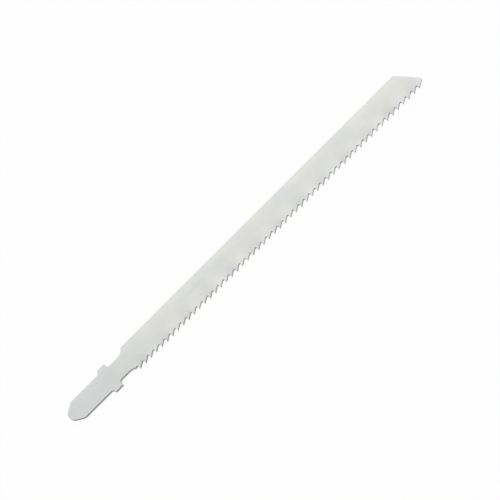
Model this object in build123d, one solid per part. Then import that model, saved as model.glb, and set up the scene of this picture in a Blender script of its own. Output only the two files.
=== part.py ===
from build123d import *

import os
from math import ceil, cos, pi, radians, sin, tan

# A long jigsaw blade for metal with a T-shank. It is one strip of steel, stamped to its
# outline, with milled teeth and a wavy set.
# It is drawn along X, from the tang to the free end. The spine is on the +Y side and the
# teeth are on the -Y side, with their tips leaning towards the tang. Z = 0 is the middle of
# the sheet. The origin is on the shank's centreline, level with the lugs' shoulders that
# face the body, which a holder hooks behind. The finished blade is turned about Z, so that
# its tang points along +Y and its spine along +X.
# Sizes are in millimetres and degrees.

# Whole blade
overall_length = 132.0
sheet_thickness = 1.0
spine_reach = 4.23

# Tang, with a tapered and rounded nose
tang_length = 13.65
tang_width = 6.35
nose_radius = 2.0
nose_taper = 33.3
nose_shoulder_radius = 2.0

# Lugs, which are in line with the spine, and whose tang side leans back
lug_span = 2 * spine_reach
lug_length = 3.1
lug_lean = 20.0
lug_foot_radius = 0.6
lug_corner_radius = 0.2

# How much of a lug's side its two rounds may take up
side_used = 0.9

# Neck, which opens into the body in a round on each side
neck_width = 5.4
neck_length = 3.7
neck_foot_radius = 0.75
neck_relief_radius = 3.0

# Broken edges of the shank and the spine
edge_break = 0.08

# Free end
end_cut_angle = 37.5
end_corner_radius = 0.35

# Teeth
first_tip_reach = 4.19
tooth_run_in = 2.75
tooth_line_angle = 0.2
tooth_pitch = 2.05
tooth_back_angle = 34.0
gullet_radius = 0.34
tip_land = 0.08
last_tooth_room = 2.15
last_tip_loss = 0.2

# Wavy set, which starts just before the first tooth
set_run_in = 0.7
set_amount = 0.12
set_height = 3.9
set_wavelength = 8.6
first_crest = 5.84

# Small nick in the spine
nick_from_end = 15.65
nick_width = 0.7
nick_depth = 0.22

# How far a cutting shape runs past the metal
margin = 1.0

# Places along the blade
nose_x = -lug_length - tang_length
end_x = nose_x + overall_length
first_tip_x = neck_length + tooth_run_in
tooth_count = 1 + int((end_x - last_tooth_room - first_tip_x) / tooth_pitch)
last_tip = (tooth_count - 1) * tooth_pitch
strip_end = last_tip + last_tooth_room + margin

# The line of the tooth tips, which runs slightly in towards the spine. Along it, local X is
# measured from the first tip, and local Y towards the spine.
tooth_line = Pos(first_tip_x, -first_tip_reach) * Rot(0, 0, tooth_line_angle)


def on_tooth_line(along, across):
    return (tooth_line * Pos(along, across)).position


def foot_radius(wanted, wall, turn):
    """The round at the foot of a lug's side, no larger than the side has room for."""
    room = side_used * wall / tan(radians(turn / 2)) - lug_corner_radius
    return min(wanted, room)


def shank_strip():
    """Tang and lugs, with the lugs' width carried on through the neck."""
    apex = nose_x - nose_radius / sin(radians(nose_taper)) + nose_radius
    shoulder = apex + tang_width / 2 / tan(radians(nose_taper))
    lug_height = (lug_span - tang_width) / 2
    lean = lug_height * tan(radians(lug_lean))
    lug_foot = foot_radius(
        lug_foot_radius, lug_height / cos(radians(lug_lean)), 90 - lug_lean
    )
    side = [
        (shoulder, tang_width / 2),
        (-lug_length, tang_width / 2),
        (-lug_length + lean, lug_span / 2),
        (neck_length, lug_span / 2),
    ]
    radii = [nose_shoulder_radius, lug_foot, lug_corner_radius, 0]
    mirrored = [(x, -y) for x, y in reversed(side)]
    edge = FilletPolyline(
        (apex, 0),
        *side,
        *mirrored,
        radius=[nose_radius] + radii + radii[::-1],
        close=True,
    )
    return make_face(edge)


def body():
    """Spine, slanted end cut, and the last tooth's back running up to the end's corner."""
    back_angle = tooth_back_angle + tooth_line_angle
    back_foot = on_tooth_line(last_tip + tip_land, 0)
    corner_x = end_x - end_corner_radius
    corner_y = (
        back_foot.Y
        + (corner_x - back_foot.X) * tan(radians(back_angle))
        + end_corner_radius / cos(radians(back_angle))
    )
    corner = CenterArc(
        (corner_x, corner_y),
        end_corner_radius,
        back_angle - 90,
        90 - back_angle + end_cut_angle,
    )
    cut_foot = corner @ 1
    spine_end = cut_foot.X - (spine_reach - cut_foot.Y) * tan(radians(end_cut_angle))
    rest = Polyline(
        cut_foot,
        (spine_end, spine_reach),
        (0, spine_reach),
        on_tooth_line(-first_tip_x, 0),
        back_foot,
        corner @ 0,
    )
    return make_face([corner, rest])


def neck_notch():
    """The metal removed above the neck: square to the lug, round towards the body."""
    near = neck_width / 2
    neck_foot = foot_radius(neck_foot_radius, lug_span / 2 - near, 90)
    far = spine_reach + neck_relief_radius
    notch_end = neck_length + neck_relief_radius
    edge = FilletPolyline(
        (0, near),
        (notch_end, near),
        (notch_end, far),
        (0, far),
        radius=[neck_foot, neck_relief_radius, 0, 0],
        close=True,
    )
    return make_face(edge)


def gullet():
    """The space before one tooth: its upright face, a round root, and the next back."""
    back_foot = tip_land - tooth_pitch
    slope = radians(tooth_back_angle)
    root_y = -(back_foot + gullet_radius) * tan(slope) - gullet_radius / cos(slope)
    root = CenterArc((-gullet_radius, root_y), gullet_radius, 0, 90 + tooth_back_angle)
    mouth = Polyline(
        root @ 1,
        (back_foot, 0),
        (back_foot, -margin),
        (0, -margin),
        root @ 0,
    )
    return make_face([root, mouth])


def nick():
    """A small round dent in the spine."""
    radius = (nick_width**2 / 4 + nick_depth**2) / (2 * nick_depth)
    return Pos(end_x - nick_from_end, spine_reach - nick_depth + radius) * Circle(radius)


def outline():
    """The blade's flat outline with all its teeth."""
    notch = neck_notch()
    blank = shank_strip() + body() - notch - mirror(notch, about=Plane.XZ)
    lug_corners = [
        blank.vertices().sort_by_distance((0, side * lug_span / 2))[0]
        for side in (-1, 1)
    ]
    blank = fillet(lug_corners, lug_corner_radius)
    gullets = [
        tooth_line * Pos(number * tooth_pitch, 0) * gullet()
        for number in range(tooth_count)
    ]
    worn_tip = tooth_line * Pos(last_tip, last_tip_loss / 2) * Rectangle(
        tooth_pitch, last_tip_loss
    )
    return blank - gullets - worn_tip - nick()


def turning_points():
    """Where the wave is flat, and how high it is there at the tips. It starts from rest."""
    half_wave = set_wavelength / 2
    number = ceil((half_wave / 2 - set_run_in - first_crest) / half_wave)
    points = [(-set_run_in, 0)]
    while points[-1][0] < strip_end:
        points.append((first_crest + number * half_wave, set_amount * (-1) ** number))
        number += 1
    return points


def half_wave_solid(start, end):
    """The strip from one turning point to the next, bent more the further it is out."""
    ease = (end[0] - start[0]) * (1 - 2 / pi)
    along = [
        start,
        (start[0] + ease, start[1]),
        (end[0] - ease, end[1]),
        end,
    ]
    reach = set_height + margin
    across = [
        (set_height, 0),
        (set_height - reach / 2, 0),
        (-margin, (reach / set_height) ** 2),
    ]
    controls = []
    for y, growth in across:
        line = [on_tooth_line(x, y) + (0, 0, height * growth) for x, height in along]
        controls.append([point - (0, 0, sheet_thickness / 2) for point in line])
    underside = Face.make_bezier_surface(controls)
    return extrude(underside, amount=sheet_thickness, dir=(0, 0, 1))


def set_strip():
    """The toothed strip, bent in a wave that dies away at the bend line."""
    points = turning_points()
    return [half_wave_solid(*pair) for pair in zip(points, points[1:])]


def flat_sheet():
    """Everything on the spine's side of the bend line, and the shank."""
    bend_start = on_tooth_line(-set_run_in, set_height)
    bend_end = on_tooth_line(strip_end, set_height)
    strip_start = on_tooth_line(-set_run_in, -margin)
    edge = Polyline(
        bend_end,
        bend_start,
        strip_start,
        (nose_x - margin, strip_start.Y),
        (nose_x - margin, spine_reach + margin),
        (bend_end.X, spine_reach + margin),
        close=True,
    )
    return extrude(make_face(edge), amount=sheet_thickness / 2, both=True)


def blunt_edges(solid):
    """Both faces' edges round the shank, up to the first gullet, and along the spine."""
    shank_end = first_tip_x - tooth_pitch / 2
    flat_edges = solid.faces().filter_by(Plane.XY).edges()
    return [
        edge
        for edge in flat_edges
        if edge.center().X < shank_end or edge.center().Y > spine_reach - edge_break
    ]


def blade():
    """The whole blade, turned to lie along Y with its tang towards +Y."""
    sheet = flat_sheet().fuse(*set_strip(), glue=True)
    punch = extrude(outline(), amount=sheet_thickness, both=True)
    sharp = sheet & punch
    return Rot(0, 0, -90) * chamfer(blunt_edges(sharp), edge_break)


os.makedirs("parts", exist_ok=True)
export_step(blade(), "parts/blade.step")
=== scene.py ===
from math import cos, radians, sin

import bpy
from mathutils import Matrix, Vector


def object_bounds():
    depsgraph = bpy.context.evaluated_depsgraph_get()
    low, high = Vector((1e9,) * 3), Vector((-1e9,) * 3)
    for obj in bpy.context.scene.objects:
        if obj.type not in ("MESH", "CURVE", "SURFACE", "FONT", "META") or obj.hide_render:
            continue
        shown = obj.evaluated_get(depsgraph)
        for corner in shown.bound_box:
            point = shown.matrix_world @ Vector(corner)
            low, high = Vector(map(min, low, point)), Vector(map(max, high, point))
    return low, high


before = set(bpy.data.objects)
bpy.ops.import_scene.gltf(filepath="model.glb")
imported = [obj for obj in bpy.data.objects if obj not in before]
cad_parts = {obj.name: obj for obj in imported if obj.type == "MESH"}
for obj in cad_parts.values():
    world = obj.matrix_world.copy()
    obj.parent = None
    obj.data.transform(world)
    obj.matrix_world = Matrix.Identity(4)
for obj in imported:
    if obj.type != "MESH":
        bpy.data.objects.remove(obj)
cad_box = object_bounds()
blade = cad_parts["blade"]

# A jigsaw blade of bright ground steel, which lies on a white floor. Sizes are in metres.
# The tang points along +Y, the spine is on the +X side and the teeth are on the -X side.
# The lugs' shoulders are at Y = 0.
low, high = cad_box
middle = (low + high) / 2

# Camera, which looks down on the blade over its teeth, with the tang at the lower left. The
# picture's width is measured where the camera aims. The sensor's is in millimetres.
view_tilt = radians(25.65)
view_roll = radians(44.938)
view_distance = 0.82
picture_width = 0.13483
aim_from_middle = Vector((-0.00256, -0.00059, 0.0))
sheet_top = 0.0005
sensor_width = 36.0
nearest_seen = 0.01

# Light: a pale dome that is brightest over the spine and the free end, and one wide soft lamp
dome_dark = 0.58
dome_bright = 0.862
dome_brightest = Vector((0.8, -0.4, 0.5))
lamp_length = 1.8
lamp_width = 0.7
lamp_power = 1.6
lamp_place = Vector((0.72, 0.05, 0.83))

# Floor, whose own white shows almost fully to the camera and in the steel
floor_reach = 4.0
floor_white = 0.95
floor_glow_share = 0.95

# The ground faces' colours. The shank is a little cooler than the body, which has cool spots,
# and darker than it as painted shade.
body_color = (0.677, 0.682, 0.647)
cool_color = (0.648, 0.662, 0.651)
shank_color_and_shade = (0.618, 0.631, 0.622)

# A cool spot starts where the noise falls below the first of these, and is fully cool below
# the second
cool_start = 0.55
cool_full = 0.3

# Painted light: the faces get brighter in a band along the spine, as a painted highlight, and
# towards the free end, as painted light
spine_highlight_gain = 1.06
spine_highlight_band = 0.003
end_light_gain = 1.045

# Cut edges are darker than the faces, partly as cut steel and partly as painted shade, and
# darker still below, as painted shade towards the floor. They are brighter on the body as
# painted light, and those that face the free end, such as the teeth's backs, get brighter
# towards it as painted light.
cut_above = (0.37, 0.37, 0.37)
cut_below_shaded = (0.17, 0.17, 0.17)
body_cut_light_gain = 1.38
end_cut_light_gain = 1.4

# Broken and rubbed corners between the faces and the cut edges
corner_color = (0.66, 0.66, 0.64)

# The shank's cooler colour and painted shade give way to the body's between the shoulders and
# here
full_body_y = -0.015

# How squarely a surface faces up or down where it starts to look like a corner or a cut edge,
# and where it wholly does. The last pair is for surfaces that face the free end, along -Y.
corner_start = 0.95
corner_full = 0.85
cut_start = 0.6
cut_full = 0.45
end_facing_start = -0.15
end_facing_full = -0.45

# Marks in the steel. Lines and streaks run along the blade, and cut marks through the sheet.
line_width = 0.00005
line_length = 0.009
streak_width = 0.0005
streak_length = 0.03
blotch_size = 0.007
cool_spot_size = 0.0055
cut_mark_width = 0.00009
cut_mark_length = 0.009
coarse_detail = 2.0
fine_detail = 3.0

# How far the marks change the tone each way, and how deep the finest are
line_tone = 0.1
streak_tone = 0.035
blotch_tone = 0.05
cut_mark_tone = 0.18
line_depth = 0.000004

# Roughness, and how far lines and streaks change it each way
face_roughness = 0.34
cut_roughness = 0.48
mark_roughness = 0.05


def add_node(tree, kind, inputs=None, **settings):
    """A shader node, whose inputs get either a value or another node's output."""
    made = tree.nodes.new(kind)
    for name, value in settings.items():
        setattr(made, name, value)
    for socket, value in (inputs or {}).items():
        if isinstance(value, bpy.types.NodeSocket):
            tree.links.new(value, made.inputs[socket])
        else:
            made.inputs[socket].default_value = value
    return made


def calculate(tree, operation, *values):
    """A number worked out from numbers or other nodes' outputs."""
    node = add_node(tree, "ShaderNodeMath", dict(enumerate(values)), operation=operation)
    return node.outputs[0]


def product(tree, first, *others):
    """The product of several nodes' outputs."""
    for other in others:
        first = calculate(tree, "MULTIPLY", first, other)
    return first


def blend_map(tree, value, start, end):
    """A number that goes from 0 at start to 1 at end, and stays there."""
    inputs = {"Value": value, "From Min": start, "From Max": end}
    return add_node(tree, "ShaderNodeMapRange", inputs).outputs[0]


def blend_numbers(tree, factor, first, second):
    """A number that goes from first to second as factor goes from 0 to 1."""
    # A Mix node has its factor at input 0 and its two numbers at inputs 2 and 3
    inputs = {0: factor, 2: first, 3: second}
    return add_node(tree, "ShaderNodeMix", inputs, data_type="FLOAT").outputs[0]


def vary(tree, factor, usual, spread):
    """A number that goes from spread below the usual one to spread above it."""
    return blend_numbers(tree, factor, usual - spread, usual + spread)


def blend_colors(tree, factor, first, second, how="MIX"):
    """The first colour where factor is 0, and the second, laid on as how says, where it is 1."""
    # A Mix node has its two colours at inputs 6 and 7, and their blend at output 2
    inputs = {0: factor, 6: first, 7: second}
    node = add_node(tree, "ShaderNodeMix", inputs, data_type="RGBA", blend_type=how)
    return node.outputs[2]


def stretched_noise(tree, place, cell, detail=coarse_detail):
    """Noise whose cells are as long along X, Y and Z as cell says."""
    scaled = add_node(
        tree,
        "ShaderNodeVectorMath",
        {0: place, 1: tuple(1 / size for size in cell)},
        operation="MULTIPLY",
    )
    noise = add_node(
        tree,
        "ShaderNodeTexNoise",
        {"Vector": scaled.outputs[0], "Scale": 1.0, "Detail": detail},
    )
    return noise.outputs["Fac"]


def ground_color_and_light(tree, place, where, on_body, end_light_ramp, lines, streaks):
    """The faces' colour, with its cool spots and blotches, painted shade on the shank, a painted
    highlight band along the spine and painted light towards the free end.
    """
    cool_spots = stretched_noise(tree, place, (cool_spot_size,) * 3)
    blotches = stretched_noise(tree, place, (blotch_size,) * 3)
    # Painted highlight: the faces are made brighter in this band along the spine
    spine_highlight_mask = blend_map(tree, where["X"], high.x - spine_highlight_band, high.x)
    warmth = blend_map(tree, cool_spots, cool_full, cool_start)
    spotted = blend_colors(tree, warmth, (*cool_color, 1), (*body_color, 1))
    # Painted shade: the shank's colour is darker than the body's, as well as cooler
    plain = blend_colors(tree, on_body, (*shank_color_and_shade, 1), spotted)
    # The tone adds a painted highlight near the spine and painted light towards the free end
    tone = product(
        tree,
        vary(tree, streaks, 1.0, streak_tone),
        vary(tree, lines, 1.0, line_tone),
        vary(tree, blotches, 1.0, blotch_tone),
        blend_numbers(tree, spine_highlight_mask, 1.0, spine_highlight_gain),
        blend_numbers(tree, end_light_ramp, 1.0, end_light_gain),
    )
    return blend_colors(tree, 1.0, plain, tone, "MULTIPLY")


def cut_color_and_shade(tree, where, normal, on_body, end_light_ramp, cut_marks):
    """The cut edges' colour with painted shade, darker from the upper face to the lower one, and
    with painted light on the body and towards the free end.
    """
    # Painted shade: the cut edges darken towards the floor
    height = blend_map(tree, where["Z"], low.z, high.z)
    plain = blend_colors(tree, height, (*cut_below_shaded, 1), (*cut_above, 1))
    # Painted light: cut edges that face the free end get brighter towards it
    end_light_faces = blend_map(tree, normal["Y"], end_facing_start, end_facing_full)
    tone = product(
        tree,
        vary(tree, cut_marks, 1.0, cut_mark_tone),
        # Painted light: cut edges on the body are brighter than on the shank
        blend_numbers(tree, on_body, 1.0, body_cut_light_gain),
        blend_numbers(tree, product(tree, end_light_faces, end_light_ramp), 1.0, end_cut_light_gain),
    )
    return blend_colors(tree, 1.0, plain, tone, "MULTIPLY")


def steel():
    """Satin steel, ground along the blade, with rubbed corners, cut edges darkened partly by
    painted shade, and painted light and shade on its faces and edges.
    """
    material = bpy.data.materials.new("ground_steel")
    material.use_nodes = True
    tree = material.node_tree
    shader = tree.nodes["Principled BSDF"]
    shader.inputs["Metallic"].default_value = 1.0

    coordinates = add_node(tree, "ShaderNodeTexCoord").outputs
    place = coordinates["Object"]
    where = add_node(tree, "ShaderNodeSeparateXYZ", {0: place}).outputs
    normal = add_node(tree, "ShaderNodeSeparateXYZ", {0: coordinates["Normal"]}).outputs
    on_body = blend_map(tree, where["Y"], 0.0, full_body_y)
    # Painted light: a ramp that brightens the faces and the cut edges facing the free end
    # towards it
    end_light_ramp = blend_map(tree, where["Y"], 0.0, low.y)
    facing_up = calculate(tree, "ABSOLUTE", normal["Z"])
    on_corner = blend_map(tree, facing_up, corner_start, corner_full)
    on_cut = blend_map(tree, facing_up, cut_start, cut_full)

    line_cell = (line_width, line_length, line_width)
    lines = stretched_noise(tree, place, line_cell, fine_detail)
    streaks = stretched_noise(tree, place, (streak_width, streak_length, streak_width))
    cut_mark_cell = (cut_mark_width, cut_mark_width, cut_mark_length)
    cut_marks = stretched_noise(tree, place, cut_mark_cell, fine_detail)

    ground = ground_color_and_light(tree, place, where, on_body, end_light_ramp, lines, streaks)
    cut = cut_color_and_shade(tree, where, normal, on_body, end_light_ramp, cut_marks)
    color = blend_colors(tree, on_corner, ground, (*corner_color, 1))
    color = blend_colors(tree, on_cut, color, cut)
    tree.links.new(color, shader.inputs["Base Color"])

    ground_roughness = calculate(
        tree,
        "ADD",
        vary(tree, streaks, face_roughness, mark_roughness),
        vary(tree, lines, 0.0, mark_roughness),
    )
    roughness = blend_numbers(tree, on_cut, ground_roughness, cut_roughness)
    tree.links.new(roughness, shader.inputs["Roughness"])

    marks = blend_numbers(tree, on_cut, lines, cut_marks)
    bump = add_node(
        tree,
        "ShaderNodeBump",
        {"Height": marks, "Distance": line_depth, "Strength": 1.0},
    )
    tree.links.new(bump.outputs[0], shader.inputs["Normal"])
    return material


def finish_blade():
    """The blade's one steel, in every slot of its mesh."""
    finish = steel()
    for material_slot in blade.material_slots:
        material_slot.material = finish


def seen_directly(tree, share):
    """The share to the camera, in mirror images and through glass, and nothing elsewhere."""
    rays = add_node(tree, "ShaderNodeLightPath").outputs
    seen = calculate(tree, "MAXIMUM", rays["Is Camera Ray"], rays["Is Glossy Ray"])
    seen = calculate(tree, "MAXIMUM", seen, rays["Is Transmission Ray"])
    return calculate(tree, "MULTIPLY", seen, share)


def floor():
    """A white floor, level with the lowest point of the blade."""
    corners = [
        (x * floor_reach, y * floor_reach, low.z)
        for x, y in ((-1, -1), (1, -1), (1, 1), (-1, 1))
    ]
    mesh = bpy.data.meshes.new("floor")
    mesh.from_pydata(corners, [], [(0, 1, 2, 3)])
    made = bpy.data.objects.new("floor", mesh)
    bpy.context.scene.collection.objects.link(made)
    material = bpy.data.materials.new("white_floor")
    material.use_nodes = True
    tree = material.node_tree
    tree.nodes.clear()
    matt = add_node(
        tree, "ShaderNodeBsdfDiffuse", {"Color": (floor_white,) * 3 + (1,)}
    )
    white = add_node(tree, "ShaderNodeEmission", {"Strength": 1.0})
    both = add_node(
        tree,
        "ShaderNodeMixShader",
        {
            0: seen_directly(tree, floor_glow_share),
            1: matt.outputs[0],
            2: white.outputs[0],
        },
    )
    add_node(tree, "ShaderNodeOutputMaterial", {"Surface": both.outputs[0]})
    mesh.materials.append(material)


def dome():
    """Light from all round, brighter towards one side, in front of plain white."""
    world = bpy.data.worlds.new("dome")
    bpy.context.scene.world = world
    world.use_nodes = True
    tree = world.node_tree
    tree.nodes.clear()
    direction = add_node(tree, "ShaderNodeTexCoord").outputs["Generated"]
    along = add_node(
        tree,
        "ShaderNodeVectorMath",
        {0: direction, 1: dome_brightest.normalized()},
        operation="DOT_PRODUCT",
    )
    # The product is -1 opposite the brightest side and 1 at its middle
    level = add_node(
        tree,
        "ShaderNodeMapRange",
        {
            "Value": along.outputs["Value"],
            "From Min": -1.0,
            "To Min": dome_dark,
            "To Max": dome_bright,
        },
    )
    light = add_node(tree, "ShaderNodeBackground", {"Strength": level.outputs[0]})
    white = add_node(tree, "ShaderNodeBackground", {"Strength": 1.0})
    for background in (light, white):
        background.inputs["Color"].default_value = (1, 1, 1, 1)
    path = add_node(tree, "ShaderNodeLightPath")
    both = add_node(
        tree,
        "ShaderNodeMixShader",
        {0: path.outputs["Is Camera Ray"], 1: light.outputs[0], 2: white.outputs[0]},
    )
    add_node(tree, "ShaderNodeOutputWorld", {"Surface": both.outputs[0]})


def lamp():
    """A wide soft lamp high over the spine's side, which gives the blade its faint shadow."""
    data = bpy.data.lights.new("softbox", "AREA")
    data.shape = "RECTANGLE"
    data.size = lamp_length
    data.size_y = lamp_width
    data.energy = lamp_power
    made = bpy.data.objects.new("softbox", data)
    bpy.context.scene.collection.objects.link(made)
    made.location = middle + lamp_place
    # An area lamp shines along its own -Z, so its Z points away from the blade
    made.rotation_euler = lamp_place.to_track_quat("Z", "Y").to_euler()


def camera():
    """The picture's view: down on the blade, turned so that it runs up to the right."""
    data = bpy.data.cameras.new("camera")
    data.sensor_width = sensor_width
    data.lens = sensor_width * view_distance / picture_width
    data.clip_start = nearest_seen
    made = bpy.data.objects.new("camera", data)
    bpy.context.scene.collection.objects.link(made)
    aim = Vector((middle.x, middle.y, sheet_top)) + aim_from_middle
    back = Vector((-sin(view_tilt), 0, cos(view_tilt)))
    across = Vector((cos(view_tilt), 0, sin(view_tilt)))
    along = Vector((0, -1, 0))
    right = cos(view_roll) * along - sin(view_roll) * across
    up = sin(view_roll) * along + cos(view_roll) * across
    turn = Matrix((right, up, back)).transposed().to_4x4()
    made.matrix_world = Matrix.Translation(aim + view_distance * back) @ turn
    bpy.context.scene.camera = made


bpy.context.scene.view_settings.view_transform = "Standard"
finish_blade()
floor()
dome()
lamp()
camera()
